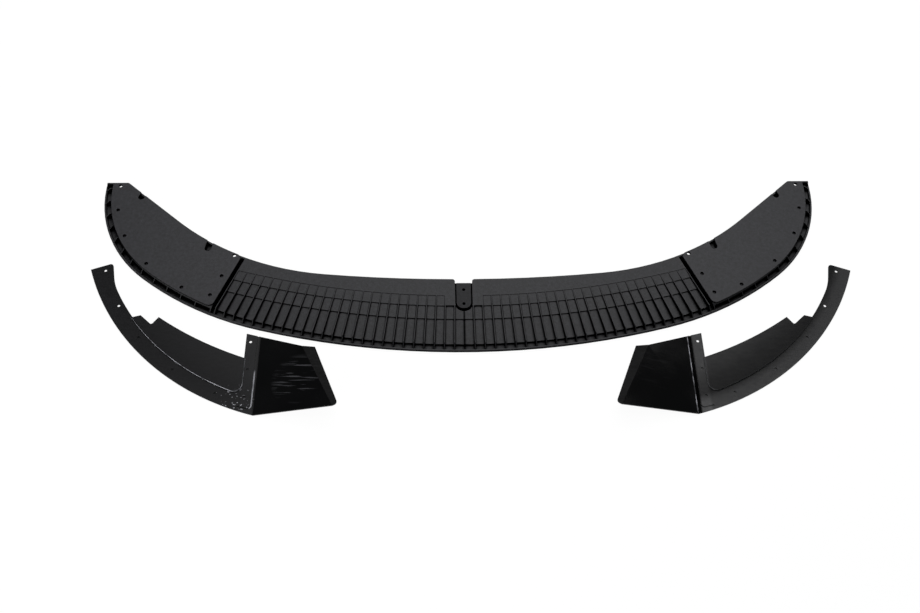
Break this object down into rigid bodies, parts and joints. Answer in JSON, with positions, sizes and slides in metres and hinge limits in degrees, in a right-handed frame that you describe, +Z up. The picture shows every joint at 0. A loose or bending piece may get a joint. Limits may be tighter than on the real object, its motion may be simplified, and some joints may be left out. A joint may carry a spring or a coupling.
{
  "type": "front splitter lip",
  "caption": "Curved front splitter lip: a ribbed tray with screwed-on end plates and a bolt tongue, and its two loose corner pieces with gloss end panels.",
  "frame": {"origin": "midway between the two bolts of the centre tongue, on the tray's flat underside", "axes": "+X across the car to the tray's right end as seen from above with the front towards the viewer, -Y to the front of the car, +Z up out of the ribbed side"},
  "size_m": [1.8821, 0.6638, 0.0522],
  "materials": {
    "tray_plastic": "fine-grained matte black",
    "plate_plastic": "fine-grained matte black",
    "corner_plastic": "satin black flange and web, gloss black end panel"
  },
  "bodies": {
    "root": {"splitter_tray": "tray_plastic", "end_plate_right": "plate_plastic", "end_plate_left": "plate_plastic", "corner_piece_right": "corner_plastic", "corner_piece_left": "corner_plastic"}
  },
  "joints": []
}
